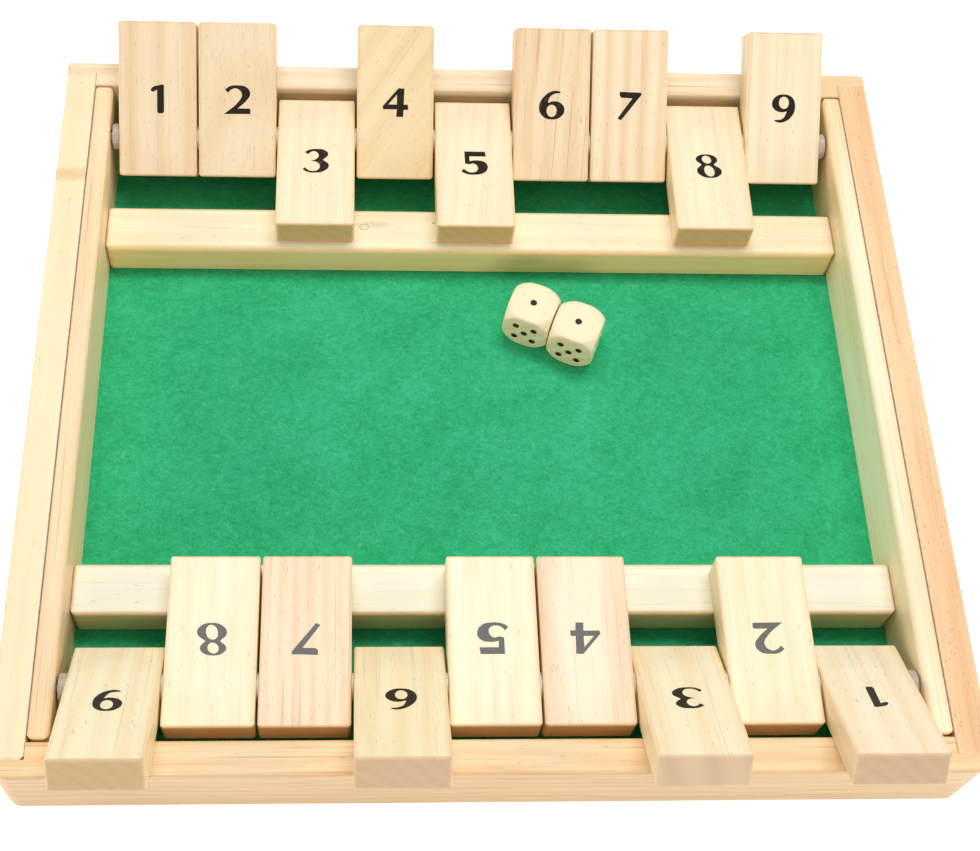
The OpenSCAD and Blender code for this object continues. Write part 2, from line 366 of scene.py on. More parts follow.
def wood_material(name, place, half_size, seed, **look):
    """Lacquered wood for one piece. Its fibres run along the Y axis of place."""
    look = {**WOOD_LOOK, **look}
    material, tree, shader = new_material(name)
    position = position_on_piece(tree, place)
    grain = place_group(tree, wood_grain, grain_values(position, seed, look))
    wear_and_shade = place_group(tree, wear_and_shade_masks, {"Position": position, "Half Size": half_size, "Width": EDGE_TINT_WIDTH})
    end_grain = mix_colour(tree, grain["Late Wood"], look["end"], look["end_ring"])
    # Painted shade: the X sides are multiplied by the side tint
    side_share = maths(tree, "MULTIPLY", wear_and_shade["Side"], look["side_share"])
    colour = mix_colour(tree, side_share, grain["Colour"], look["side"], "MULTIPLY")
    # The +Y end takes end grain; the -Y heel takes the heel tint, painted shade, where a look gives one, and
    # end grain otherwise
    ends = {"End": end_grain, "Heel": look["heel"] or end_grain}
    for mask, tint in ends.items():
        colour = mix_colour(tree, maths(tree, "MULTIPLY", wear_and_shade[mask], look["end_share"]), colour, tint)
    # Edge tint: partly rubbing wear, partly painted shade and highlight on the rounded edges
    colour = mix_colour(tree, maths(tree, "MULTIPLY", wear_and_shade["Edge"], look["edge_share"]), colour, look["edge"])
    for middle, reach, output, strength, tint in look["marks"]:
        values = {"Position": position, "Middle": place.inverted() @ Vector(middle), "Reach": reach}
        mask = place_group(tree, wood_mark, values)[output]
        colour = mix_colour(tree, maths(tree, "MULTIPLY", mask, strength), colour, tint)
    tree.links.new(colour, shader.inputs["Base Color"])
    tree.links.new(grain["Roughness"], shader.inputs["Roughness"])
    raise_surface(tree, shader, grain["Height"], GRAIN_DEPTH)
    return material


FELT_NAP = 0.3 * MM


def felt_material():
    """Dense pressed felt: cloudy dye, matted fibres and a few loose pale ones."""
    material, tree, shader = new_material(
        "Green felt", Sheen_Weight=0.08, Sheen_Roughness=0.5, Roughness=0.95, Specular_IOR_Level=0.1
    )
    position = tree.nodes.new("ShaderNodeTexCoord").outputs["Object"]
    clouds = stretched_noise(tree, position, (45, 45, 45), detail=3, roughness=0.6)
    tufts = stretched_noise(tree, position, (330, 330, 330), detail=4, roughness=0.7)
    grit = stretched_noise(tree, position, (1900, 1900, 1900), detail=2, roughness=0.6)
    bending = {"Vector": position, "Scale": 420.0, "Detail": 1.0}
    bend = add_node(tree, "ShaderNodeTexNoise", bending).outputs[1]
    bent = vector_maths(tree, "MULTIPLY_ADD", bend, (0.003, 0.003, 0.0), position)
    strokes = stretched_noise(tree, bent, (560, 1150, 560), detail=2, roughness=0.6)
    tone = maths(tree, "MULTIPLY_ADD", clouds, 0.25, maths(tree, "MULTIPLY", tufts, 0.3))
    tone = maths(tree, "MULTIPLY_ADD", grit, 0.35, tone)
    tone = maths(tree, "MULTIPLY_ADD", strokes, 0.25, tone)
    colour = mix_colour(tree, ramp(tree, tone, 0.38, 0.78), srgb(35, 165, 106), srgb(67, 206, 152))

    # Loose fibres follow the contour lines of soft noise, here and there
    contour = stretched_noise(tree, bent, (240, 240, 240), detail=0)
    from_line = maths(tree, "ABSOLUTE", maths(tree, "SUBTRACT", contour, 0.5))
    loose = ramp(tree, stretched_noise(tree, position, (160, 160, 160), detail=2), 0.5, 0.62)
    fibres = maths(tree, "MULTIPLY", falling_ramp(tree, from_line, 0.004, 0.02), loose)
    colour = mix_colour(tree, maths(tree, "MULTIPLY", fibres, 0.35), colour, srgb(110, 222, 166))
    tree.links.new(colour, shader.inputs["Base Color"])
    height = maths(tree, "MULTIPLY_ADD", fibres, 0.4, maths(tree, "MULTIPLY_ADD", grit, 0.4, tufts))
    raise_surface(tree, shader, height, FELT_NAP)
    return material


def steel_material():
    """Drawn steel rod with fine lines along it."""
    material, tree, shader = new_material("Drawn steel", Metallic=1.0)
    position = tree.nodes.new("ShaderNodeTexCoord").outputs["Object"]
    lines = stretched_noise(tree, position, (40, 4000, 4000), detail=3)
    colour = mix_colour(tree, lines, srgb(150, 150, 152), srgb(214, 213, 210))
    tree.links.new(colour, shader.inputs["Base Color"])
    tree.links.new(maths(tree, "MULTIPLY_ADD", lines, 0.25, 0.18), shader.inputs["Roughness"])
    return material


def nylon_material(name, pale, dull):
    """Natural nylon, a little milky, with faint turning marks and handling dullness."""
    material, tree, shader = new_material(
        name, Subsurface_Weight=0.25, Subsurface_Radius=(0.002, 0.0016, 0.0012), Subsurface_Scale=1.0
    )
    position = tree.nodes.new("ShaderNodeTexCoord").outputs["Object"]
    marks = stretched_noise(tree, position, (2500, 500, 500), detail=3)
    tree.links.new(mix_colour(tree, marks, dull, pale), shader.inputs["Base Color"])
    tree.links.new(maths(tree, "MULTIPLY_ADD", marks, 0.25, 0.25), shader.inputs["Roughness"])
    return material


def ink_material(name, full, worn_thin, roughness, shine):
    """Printed or dabbed paint, thinner where it sank into the wood's pores."""
    material, tree, shader = new_material(name, Specular_IOR_Level=shine)
    position = tree.nodes.new("ShaderNodeTexCoord").outputs["Object"]
    thin = ramp(tree, stretched_noise(tree, position, (900, 500, 900), detail=4, roughness=0.7), 0.52, 0.8)
    tree.links.new(mix_colour(tree, thin, full, worn_thin), shader.inputs["Base Color"])
    tree.links.new(maths(tree, "MULTIPLY_ADD", thin, 0.2, roughness), shader.inputs["Roughness"])
    return material


# ---------------------------------------------------------------- helpers for pieces


def give_material(node_name, material):
    slots = frame["nodes"][node_name].data.materials
    slots.clear()
    slots.append(material)


def middle_and_half_size(node_name):
    low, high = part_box(node_name)
    return (low + high) / 2, (high - low) / 2


def new_piece(name, mesh, material, body):
    piece = bpy.data.objects.new(name, mesh)
    bpy.context.scene.collection.objects.link(piece)
    mesh.materials.clear()
    mesh.materials.append(material)
    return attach(piece, body)


# ---------------------------------------------------------------- wooden parts of the tray


def dress_long_piece(node_name, seed, **look):
    """Wood for a board or bar across the tray, with its fibres along X."""
    middle, half = middle_and_half_size(node_name)
    place = Matrix.Translation(middle) @ Matrix.Rotation(-math.pi / 2, 4, "Z")
    material = wood_material(node_name + " wood", place, (half.y, half.x, half.z), seed, **look)
    give_material(node_name, material)


def dress_side_piece(node_name, seed, **look):
    """Wood for a side board, a rail or the base panel, with its fibres along Y."""
    middle, half = middle_and_half_size(node_name)
    material = wood_material(node_name + " wood", Matrix.Translation(middle), half, seed, **look)
    give_material(node_name, material)


TRAY_TOP = 0.0285
JOINT_X = 0.1275


def joint_line(x):
    """The dark line along the top of the joint between a side board and its rail."""
    return ((x, 0.0, TRAY_TOP), (0.00042, 0.4, 0.0012), "Blot", 0.7, srgb(126, 98, 62))


dress_long_piece(
    "front_board",
    11.0,
    pale=srgb(253, 226, 182),
    dark=srgb(240, 192, 134),
    # Painted shade: the front and back faces darkened by the side tint
    side=srgb(246, 240, 234),
    side_share=0.6,
    rings=0.4,
    ring_spacing=0.0034,
    wander=0.016,
    streaks=0.65,
    streaks_per_metre=LONG_STREAKS,
    lines=0.35,
    pores=0.3,
)
dress_long_piece(
    "back_board",
    12.0,
    pale=srgb(254, 243, 214),
    dark=srgb(244, 214, 172),
    pore=srgb(196, 142, 96),
    rings=0.5,
    ring_spacing=0.0028,
    wander=0.004,
    streaks=1.2,
    streaks_per_metre=LONG_STREAKS,
    lines=0.4,
    pores=0.2,
    marks=[((0.126, 0.12, TRAY_TOP), (0.024, 0.02, 0.012), "Blot", 0.7, srgb(240, 202, 152))],
)
dress_side_piece(
    "left_board",
    13.0,
    pale=srgb(252, 242, 206),
    dark=srgb(246, 226, 178),
    # Pale edge tint: partly rubbing wear, partly a painted highlight on the rounded top edges
    edge=srgb(255, 248, 226),
    rings=0.2,
    streaks=0.5,
    pores=0.06,
    streaks_per_metre=LONG_STREAKS,
    lines=0.0,
    marks=[
        ((-0.1335, 0.0758, 0.035), (0.02, 0.0035, 0.03), "Blot", 0.75, srgb(234, 196, 138)),
        joint_line(-JOINT_X),
    ],
)
dress_side_piece(
    "right_board",
    14.0,
    pale=srgb(250, 216, 171),
    dark=srgb(239, 187, 136),
    pore=srgb(158, 90, 48),
    # Pale edge tint: partly rubbing wear, partly a painted highlight on the rounded top edges
    edge=srgb(252, 226, 190),
    streaks=1.1,
    pores=0.95,
    pores_per_metre=COARSE_PORES,
    lines=0.2,
    marks=[joint_line(JOINT_X)],
)
dress_side_piece(
    "left_axle_rail",
    15.0,
    pale=srgb(252, 228, 188),
    dark=srgb(244, 205, 156),
    edge=srgb(246, 216, 170),
    streaks_per_metre=LONG_STREAKS,
    lines=0.35,
    marks=[joint_line(-JOINT_X)],
)
dress_side_piece(
    "right_axle_rail",
    16.0,
    pale=srgb(255, 250, 218),
    dark=srgb(243, 214, 164),
    edge=srgb(246, 220, 178),
    # Painted shade on the X sides, with a near-white side tint
    side=srgb(255, 250, 246),
    side_share=1.0,
    rings=0.08,
    streaks_per_metre=LONG_STREAKS,
    clouds=3.0,
    pores=0.1,
    marks=[joint_line(JOINT_X)],
)
dress_long_piece(
    "front_rest_bar",
    17.0,
    pale=srgb(255, 255, 240),
    dark=srgb(253, 248, 216),
    streaks_per_metre=LONG_STREAKS,
    # Painted shade: the front and back faces darkened by the side tint
    side=srgb(255, 229, 196),
    side_share=1.0,
    pores=0.1,
    lines=0.15,
)
dress_long_piece(
    "back_rest_bar",
    18.0,
    pale=srgb(255, 246, 214),
    dark=srgb(250, 230, 186),
    streaks=1.0,
    streaks_per_metre=LONG_STREAKS,
    # Painted shade: the front and back faces darkened by the side tint
    side=srgb(255, 229, 196),
    side_share=1.0,
    pores=0.2,
    lines=0.12,
    marks=[
        ((-0.0366, 0.0645, 0.017), (0.0016, 0.0021, 0.004), "Rim", 0.6, srgb(160, 112, 66)),
        ((-0.0336, 0.0655, 0.017), (0.0020, 0.0075, 0.004), "Blot", 0.35, srgb(200, 156, 104)),
        ((-0.0135, 0.0664, 0.017), (0.0005, 0.0006, 0.004), "Blot", 0.8, srgb(120, 76, 40)),
    ],
)
dress_side_piece(
    "base_panel",
    19.0,
    pale=srgb(222, 190, 144),
    dark=srgb(190, 152, 106),
    edge=srgb(150, 112, 72),
)


# ---------------------------------------------------------------- tiles

QUARTER_SAWN = (0.2, 0.0, -0.05)
PLAIN_SAWN = (0.004, 0.0, -0.06)
DIAGONAL = (0.06, 0.0, -0.06)
CREAM = {"pale": srgb(255, 248, 218), "dark": srgb(249, 230, 188), "pores": 0.15, "lines": 0.1, "rings": 0.3}
GREY_END = {"end": srgb(222, 188, 150), "end_ring": srgb(217, 182, 144)}
PALE_END = {"end": srgb(230, 203, 165), "end_ring": srgb(220, 190, 152)}
YELLOW_END = {"end": srgb(220, 185, 138), "end_ring": srgb(215, 180, 132)}
BACK_END = {"end": srgb(230, 179, 125), "end_ring": srgb(226, 174, 120)}
CREAM_BACK = {**CREAM, **BACK_END, "pale": srgb(255, 240, 207), "dark": srgb(248, 222, 183)}
# Painted shade on the tiles: the heel tint on the -Y end, the side tint on the X sides; the edge tint is
# partly rubbing wear, partly painted shade
TILE_SIDES = {
    "heel": srgb(238, 196, 142),
    "side": srgb(246, 234, 214),
    "side_share": 0.7,
    "end_share": 0.94,
    "edge": srgb(248, 218, 176),
    "edge_share": 0.25,
}
TILE_LOOKS = {
    ("back", 1): {
        "pale": srgb(253, 234, 202), "dark": srgb(241, 205, 164), "pith": QUARTER_SAWN, "ring_spacing": 0.009,
        "rings": 0.5, "pores": 0.5, "lines": 0.12,
    },
    ("back", 2): {
        "pale": srgb(253, 236, 203), "dark": srgb(244, 214, 174), "pith": PLAIN_SAWN, "turn": (0.1, 0, 0),
        "pores": 0.5,
    },
    ("back", 3): {**CREAM_BACK, "pith": DIAGONAL, "pores": 0.25},
    ("back", 4): {
        "pale": srgb(253, 233, 192), "dark": srgb(242, 209, 160), "turn": (0, 0, 0.6), "pores": 0.45,
        "ring_spacing": 0.007, "wander": 0.012,
    },
    ("back", 5): {**CREAM_BACK, "pith": DIAGONAL, "turn": (0, 0, -0.1)},
    ("back", 6): {
        "pale": srgb(252, 230, 196), "dark": srgb(239, 199, 155), "turn": (0, 0, 0.06), "streaks": 1.3,
        "lines": 0.45, "pores": 0.5,
    },
    ("back", 7): {
        "pale": srgb(255, 241, 210), "dark": srgb(246, 214, 176), "pith": QUARTER_SAWN, "ring_spacing": 0.006,
        "rings": 0.7, "pores": 0.3,
    },
    ("back", 8): {
        **CREAM_BACK, "pith": DIAGONAL, "pores": 0.8, "pores_per_metre": SHORT_PORES,
        "pore": srgb(160, 118, 78),
    },
    ("back", 9): {"pale": srgb(255, 246, 216), "dark": srgb(250, 226, 188), "pores": 0.12, "streaks": 0.8},
    ("front", 1): {**GREY_END, "pale": srgb(255, 246, 220), "dark": srgb(252, 224, 188), "pores": 0.45},
    ("front", 2): {**CREAM, "pores": 0.25},
    ("front", 3): {
        **PALE_END, "pale": srgb(255, 246, 214), "dark": srgb(252, 226, 182), "pith": QUARTER_SAWN,
        "ring_spacing": 0.011, "rings": 0.6, "pores": 0.2,
    },
    ("front", 4): {
        "pale": srgb(254, 240, 212), "dark": srgb(244, 209, 176), "pith": QUARTER_SAWN, "ring_spacing": 0.018,
        "rings": 0.7, "wander": 0.014, "pores": 0.4,
    },
    ("front", 5): {**CREAM},
    ("front", 6): {**GREY_END, "pale": srgb(255, 243, 206), "dark": srgb(252, 220, 174), "pores": 0.35},
    ("front", 7): {
        "pale": srgb(253, 232, 201), "dark": srgb(242, 204, 168), "pith": QUARTER_SAWN, "ring_spacing": 0.004,
        "pores": 0.6, "lines": 0.35,
    },
    ("front", 8): {**CREAM, "pores": 0.35},
    ("front", 9): {**YELLOW_END, "pale": srgb(255, 248, 214), "dark": srgb(252, 226, 182), "pores": 0.3},
}


def tile_place(row, number):
    """A tile's own axes: the rod along X at the origin, the long end towards +Y, the faces at +Z and -Z."""
    low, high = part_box(f"{row}_tile_{number}")
    rod = joint_places[f"{row}_tile_{number}_flip"].copy()
    rod.x = (low.x + high.x) / 2
    half_turn = math.pi if row == "front" else 0.0
    tilt = FLIPPED if number in FLIPPED_TILES[row] else LEANING
    return Matrix.Translation(rod) @ Matrix.Rotation(half_turn, 4, "Z") @ Matrix.Rotation(tilt, 4, "X")


TILE_MIDDLE = Vector((0, TILE_LENGTH / 2 - TILE_HEEL, 0))
tile_half_width = middle_and_half_size("back_tile_1")[1].x
tile_half = (tile_half_width, TILE_LENGTH / 2, TILE_THICKNESS / 2)

for row_index, row in enumerate(ROWS):
    for number in NUMBERS:
        name = f"{row}_tile_{number}"
        place = tile_place(row, number) @ Matrix.Translation(TILE_MIDDLE)
        seed = 30 + 10 * row_index + number
        look = {**TILE_SIDES, **TILE_LOOKS[row, number]}
        give_material(name, wood_material(name + " wood", place, tile_half, seed, **look))


# ---------------------------------------------------------------- printed numbers

NUMBER_HEIGHT = 9.5 * MM
INK_DEPTH = 0.03 * MM
INK_SUNK = 0.005 * MM
NUMBER_UNIT = NUMBER_HEIGHT / 100
CORNER = "VECTOR"
SMOOTH = "AUTO"

# Outlines of the figures, a hundred units high. The first loop is the outside and the others are holes.
NUMBER_OUTLINES = {
    1: [
        [
            (18, 84, SMOOTH), (20, 76, SMOOTH), (39, 81, CORNER), (39, 5, CORNER), (44, 0, CORNER),
            (58, 0, CORNER), (63, 5, CORNER), (63, 98, CORNER), (56, 100, CORNER),
        ]
    ],
    2: [
        [
            (4, 86, CORNER), (22, 98, SMOOTH), (46, 101, SMOOTH), (80, 94, SMOOTH), (92, 73, SMOOTH),
            (80, 50, SMOOTH), (48, 21, CORNER), (88, 21, CORNER), (93, 16, CORNER), (92, 2, CORNER),
            (0, 1, CORNER), (52, 46, SMOOTH), (63, 70, SMOOTH), (44, 90, SMOOTH), (26, 86, SMOOTH),
            (14, 75, CORNER),
        ]
    ],
    3: [
        [
            (6, 87, CORNER), (22, 97, SMOOTH), (44, 101, SMOOTH), (78, 95, SMOOTH), (88, 78, SMOOTH),
            (70, 55, CORNER), (91, 31, SMOOTH), (76, 8, SMOOTH), (38, -1, SMOOTH), (14, 3, SMOOTH),
            (0, 13, CORNER), (7, 22, CORNER), (20, 10, SMOOTH), (36, 6, SMOOTH), (54, 13, SMOOTH),
            (59, 32, SMOOTH), (48, 45, SMOOTH), (28, 51, CORNER), (48, 59, SMOOTH), (55, 75, SMOOTH),
            (40, 91, SMOOTH), (28, 88, SMOOTH), (18, 78, CORNER),
        ]
    ],
    4: [
        [
            (56, 100, CORNER), (77, 99, CORNER), (75, 43, CORNER), (90, 43, CORNER), (91, 25, CORNER),
            (75, 25, CORNER), (73, 0, CORNER), (49, 0, CORNER), (51, 26, CORNER), (2, 26, CORNER),
            (0, 36, CORNER),
        ],
        [(20, 43, CORNER), (51, 43, CORNER), (51, 78, CORNER)],
    ],
    5: [
        [
            (13, 99, CORNER), (86, 99, CORNER), (88, 78, CORNER), (31, 78, CORNER), (30, 58, CORNER),
            (60, 61, SMOOTH), (86, 52, SMOOTH), (94, 32, SMOOTH), (80, 8, SMOOTH), (44, -1, SMOOTH),
            (16, 3, SMOOTH), (0, 12, CORNER), (9, 25, CORNER), (22, 13, SMOOTH), (40, 9, SMOOTH),
            (56, 17, SMOOTH), (58, 34, SMOOTH), (44, 47, SMOOTH), (28, 44, SMOOTH), (14, 47, CORNER),
        ]
    ],
    6: [
        [
            (76, 97, CORNER), (54, 100, SMOOTH), (17, 79, SMOOTH), (0, 42, SMOOTH), (11, 12, SMOOTH),
            (44, -1, SMOOTH), (79, 10, SMOOTH), (91, 35, SMOOTH), (77, 57, SMOOTH), (52, 63, SMOOTH),
            (31, 57, CORNER), (38, 77, SMOOTH), (54, 89, SMOOTH), (75, 92, CORNER),
        ],
        [(27, 31, SMOOTH), (45, 51, SMOOTH), (63, 31, SMOOTH), (45, 8, SMOOTH)],
    ],
    7: [
        [
            (6, 100, CORNER), (82, 98, CORNER), (84, 90, CORNER), (13, 0, CORNER), (0, 6, CORNER),
            (52, 78, CORNER), (13, 79, CORNER), (6, 86, CORNER),
        ]
    ],
    8: [
        [
            (38, 101, SMOOTH), (66, 94, SMOOTH), (77, 77, SMOOTH), (62, 56, CORNER), (88, 30, SMOOTH),
            (77, 8, SMOOTH), (46, -1, SMOOTH), (12, 9, SMOOTH), (0, 32, SMOOTH), (19, 56, CORNER),
            (0, 78, SMOOTH), (10, 94, SMOOTH),
        ],
        [(22, 80, SMOOTH), (35, 95, SMOOTH), (55, 75, SMOOTH), (42, 61, SMOOTH)],
        [(26, 36, SMOOTH), (40, 52, SMOOTH), (62, 26, SMOOTH), (48, 5, SMOOTH)],
    ],
    9: [
        [
            (41, 100, SMOOTH), (72, 90, SMOOTH), (84, 62, SMOOTH), (74, 24, SMOOTH), (34, 0, SMOOTH),
            (11, 5, CORNER), (11, 9, CORNER), (40, 14, SMOOTH), (55, 40, CORNER), (34, 37, SMOOTH),
            (8, 48, SMOOTH), (0, 68, SMOOTH), (12, 91, SMOOTH),
        ],
        [(25, 73, SMOOTH), (43, 92, SMOOTH), (61, 71, SMOOTH), (44, 49, SMOOTH)],
    ],
}


def number_mesh(number):
    """One flat figure with its middle at the origin, a thin layer of ink thick."""
    curve = bpy.data.curves.new(f"figure {number}", "CURVE")
    curve.dimensions = "2D"
    curve.fill_mode = "BOTH"
    curve.extrude = INK_DEPTH / 2
    curve.resolution_u = 6
    outlines = NUMBER_OUTLINES[number]
    middle_x = (min(p[0] for p in outlines[0]) + max(p[0] for p in outlines[0])) / 2
    for outline in outlines:
        spline = curve.splines.new("BEZIER")
        spline.use_cyclic_u = True
        spline.bezier_points.add(len(outline) - 1)
        for point, (x, y, handle) in zip(spline.bezier_points, outline):
            point.co = ((x - middle_x) * NUMBER_UNIT, (y - 50) * NUMBER_UNIT, 0)
            point.handle_left_type = handle
            point.handle_right_type = handle
    holder = bpy.data.objects.new(f"figure {number}", curve)
    bpy.context.scene.collection.objects.link(holder)
    bpy.context.view_layer.update()
    mesh = bpy.data.meshes.new_from_object(holder.evaluated_get(bpy.context.evaluated_depsgraph_get()))
    bpy.data.objects.remove(holder)
    return mesh


number_ink = ink_material("Number ink", srgb(26, 17, 4), srgb(92, 68, 40), roughness=0.13, shine=0.24)
face_lift = Matrix.Translation((0, 0, TILE_THICKNESS / 2 + INK_DEPTH / 2 - INK_SUNK))
for number in NUMBERS:
    figure = number_mesh(number)
    for row in ROWS:
        tile = f"{row}_tile_{number}"
        both_faces = bmesh.new()
        for face_turn in (0.0, math.pi):
            printed = figure.copy()
            place = tile_place(row, number) @ Matrix.Translation(TILE_MIDDLE)
            printed.transform(place @ Matrix.Rotation(face_turn, 4, "X") @ face_lift)
            both_faces.from_mesh(printed)
            bpy.data.meshes.remove(printed)
        mesh = bpy.data.meshes.new(f"{tile}_numbers")
        both_faces.to_mesh(mesh)
        both_faces.free()
        new_piece(f"{tile}_numbers", mesh, number_ink, tile)


# ---------------------------------------------------------------- felt

FELT_STEP = 1.8 * MM
FELT_HOLLOW = 0.12 * MM


def felt_mesh():
    """The felt sheet, pressed flat with the slight unevenness of a glued cloth."""
    low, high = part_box("felt_lining")
    columns = round((high.x - low.x) / FELT_STEP)
    rows = round((high.y - low.y) / FELT_STEP)
    sheet = bmesh.new()
    bmesh.ops.create_grid(sheet, x_segments=columns, y_segments=rows, size=0.5)
    for vertex in sheet.verts:
        vertex.co.x = low.x + (vertex.co.x + 0.5) * (high.x - low.x)
        vertex.co.y = low.y + (vertex.co.y + 0.5) * (high.y - low.y)
        unevenness = noise.noise(Vector((vertex.co.x, vertex.co.y, 0)) * 60)
        vertex.co.z = high.z - FELT_HOLLOW * (0.5 + 0.5 * unevenness)
    extruded = bmesh.ops.extrude_face_region(sheet, geom=sheet.faces[:])
    for element in extruded["geom"]:
        if isinstance(element, bmesh.types.BMVert):
            element.co.z = low.z
    bmesh.ops.recalc_face_normals(sheet, faces=sheet.faces)

    # The extrusion adds the border faces in no fixed order
    in_order = sorted(sheet.faces, key=lambda face: face.calc_center_median()[:])
    for index, face in enumerate(in_order):
        face.index = index
    sheet.faces.sort()
    mesh = bpy.data.meshes.new("felt_sheet")
    sheet.to_mesh(mesh)
    sheet.free()
    for polygon in mesh.polygons:
        polygon.use_smooth = abs(polygon.normal.z) > 0.5
    return mesh


felt = new_piece("felt_sheet", felt_mesh(), felt_material(), "root")
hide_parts("felt_lining")


# ---------------------------------------------------------------- rods, spacers and washers

steel = steel_material()
give_material("front_axle", steel)
give_material("back_axle", steel)

spacer_nylon = nylon_material("Spacer nylon", srgb(208, 198, 184), srgb(170, 160, 146))
for end in ("back_left", "back_right", "front_left", "front_right"):
    give_material(f"{end}_spacer", spacer_nylon)
washer_nylon = nylon_material("Washer nylon", srgb(242, 238, 230), srgb(220, 214, 204))
for row in ROWS:
    give_material(f"{row}_washers", washer_nylon)


# ---------------------------------------------------------------- dice

DIE_TURN = math.radians(-22)
DIE_GRID = 40
DIE_BALL = 10.8 * MM
DIE_SQUARENESS = 28
DIE_EASE = 0.25 * MM
WELD = 0.01 * MM
PIP_STEP = 3.05 * MM
PIP_RADIUS = 1.05 * MM
PAINT_DEPTH = 0.4 * MM
PAINT_THICKNESS = 0.05 * MM
PAINT_PROUD = 0.01 * MM
BOWL_SEGMENTS = 20
BOWL_RINGS = (0.3, 0.6, 0.85, 1.0)
HOLLOW_DEPTH = 0.75 * MM
HOLLOW_INNER = 0.6 * MM
HOLLOW_OUTER = 1.15 * MM
die_half = middle_and_half_size("left_die")[1].z

# The turn that brings the top to the side of each value, and the pips of that value in steps from its middle
DIE_SIDES = {1: (0, 0), 2: (-90, 0), 3: (0, -90), 4: (0, 90), 5: (90, 0), 6: (180, 0)}
CENTRE = [(0, 0)]
PAIR = [(-1, 1), (1, -1)]
OTHER_PAIR = [(1, 1), (-1, -1)]
MIDDLE_PAIR = [(-1, 0), (1, 0)]
PIPS = {
    1: CENTRE,
    2: PAIR,
    3: CENTRE + PAIR,
    4: PAIR + OTHER_PAIR,
    5: CENTRE + PAIR + OTHER_PAIR,
    6: PAIR + OTHER_PAIR + MIDDLE_PAIR,
}


def side_turn(value):
    about_x, about_y = DIE_SIDES[value]
    return Matrix.Rotation(math.radians(about_y), 4, "Y") @ Matrix.Rotation(math.radians(about_x), 4, "X")


def smooth_step(value, start, end):
    t = min(max((value - start) / (end - start), 0.0), 1.0)
    return t * t * (3 - 2 * t)


def die_surface(direction):
    """The point of a ball-cornered cube with soft edges in the given direction."""
    power_sum = sum(abs(c) ** DIE_SQUARENESS for c in direction)
    to_cube = die_half / power_sum ** (1 / DIE_SQUARENESS)
    near = math.exp((die_half - to_cube) / DIE_EASE) + math.exp((die_half - DIE_BALL) / DIE_EASE)
    return direction * (die_half - DIE_EASE * math.log(near))


def die_mesh(place):
    """The wooden cube, with a hollow under each pip."""
    cube = bmesh.new()
    for value, pips in PIPS.items():
        corners = {}
        for column in range(DIE_GRID + 1):
            for row_number in range(DIE_GRID + 1):
                across = Vector((2 * column / DIE_GRID - 1, 2 * row_number / DIE_GRID - 1, 1))
                point = die_surface(across.normalized())
                for x, y in pips:
                    from_pip = (point.xy - Vector((x, y)) * PIP_STEP).length
                    point.z -= HOLLOW_DEPTH * (1 - smooth_step(from_pip, HOLLOW_INNER, HOLLOW_OUTER))
                corners[column, row_number] = cube.verts.new(side_turn(value) @ point)
        for column in range(DIE_GRID):
            for row_number in range(DIE_GRID):
                steps = ((0, 0), (1, 0), (1, 1), (0, 1))
                cube.faces.new([corners[column + i, row_number + j] for i, j in steps])
    bmesh.ops.remove_doubles(cube, verts=cube.verts, dist=WELD)
    bmesh.ops.recalc_face_normals(cube, faces=cube.faces)
    cube.transform(place)
    mesh = bpy.data.meshes.new("die")
    cube.to_mesh(mesh)
    cube.free()
    for polygon in mesh.polygons:
        polygon.use_smooth = True
    return mesh


def add_paint_bowl(paint, place):
    """One thin bowl of paint with its rim at the face of the die."""
    loops = []
    for sink in (0.0, PAINT_THICKNESS):
        rings = []
        for share in BOWL_RINGS:
            depth = PAINT_DEPTH * (1 - share**2) + sink - PAINT_PROUD
            reach = share * PIP_RADIUS
            turns = [2 * math.pi * i / BOWL_SEGMENTS for i in range(BOWL_SEGMENTS)]
            points = [(math.cos(t) * reach, math.sin(t) * reach, -depth) for t in turns]
            rings.append([paint.verts.new(place @ Vector(p)) for p in points])
        bottom = paint.verts.new(place @ Vector((0, 0, PAINT_PROUD - PAINT_DEPTH - sink)))
        for i in range(BOWL_SEGMENTS):
            j = (i + 1) % BOWL_SEGMENTS
            paint.faces.new((bottom, rings[0][i], rings[0][j]))
            for inner, outer in zip(rings, rings[1:]):
                paint.faces.new((inner[i], outer[i], outer[j], inner[j]))
        loops.append(rings[-1])
    for i in range(BOWL_SEGMENTS):
        j = (i + 1) % BOWL_SEGMENTS
        paint.faces.new((loops[0][i], loops[0][j], loops[1][j], loops[1][i]))


def pip_paint_mesh(place):
    """The paint in all the pips of a die."""
    paint = bmesh.new()
    for value, pips in PIPS.items():
        for x, y in pips:
            on_face = Matrix.Translation((x * PIP_STEP, y * PIP_STEP, die_half))
            add_paint_bowl(paint, place @ side_turn(value) @ on_face)
    bmesh.ops.recalc_face_normals(paint, faces=paint.faces)
    mesh = bpy.data.meshes.new("pip_paint")
    paint.to_mesh(mesh)
    paint.free()
    for polygon in mesh.polygons:
        polygon.use_smooth = True
    return mesh


DIE_LOOK = {
    "pale": srgb(255, 244, 210),
    "dark": srgb(248, 230, 188),
    "end": srgb(248, 222, 184),
    "end_ring": srgb(240, 210, 170),
    "rings": 0.15,
    "streaks": 0.6,
    "clouds": 0.6,
    "pores": 0.0,
    "lines": 0.0,
    "edge_share": 0.0,
}
pip_paint = ink_material("Pip paint", srgb(40, 26, 14), srgb(92, 66, 40), roughness=0.45, shine=0.25)
for seed, die in enumerate(("left_die", "right_die"), 61):
    place = Matrix.Translation(middle_and_half_size(die)[0]) @ Matrix.Rotation(DIE_TURN, 4, "Z")
    material = wood_material(die + " wood", place, (die_half, die_half, die_half), seed, **DIE_LOOK)
    wood = new_piece(f"{die}_wood", die_mesh(place), material, die)
    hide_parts(die)
    new_piece(f"{die}_pips", pip_paint_mesh(place), pip_paint, die)


# ---------------------------------------------------------------- camera

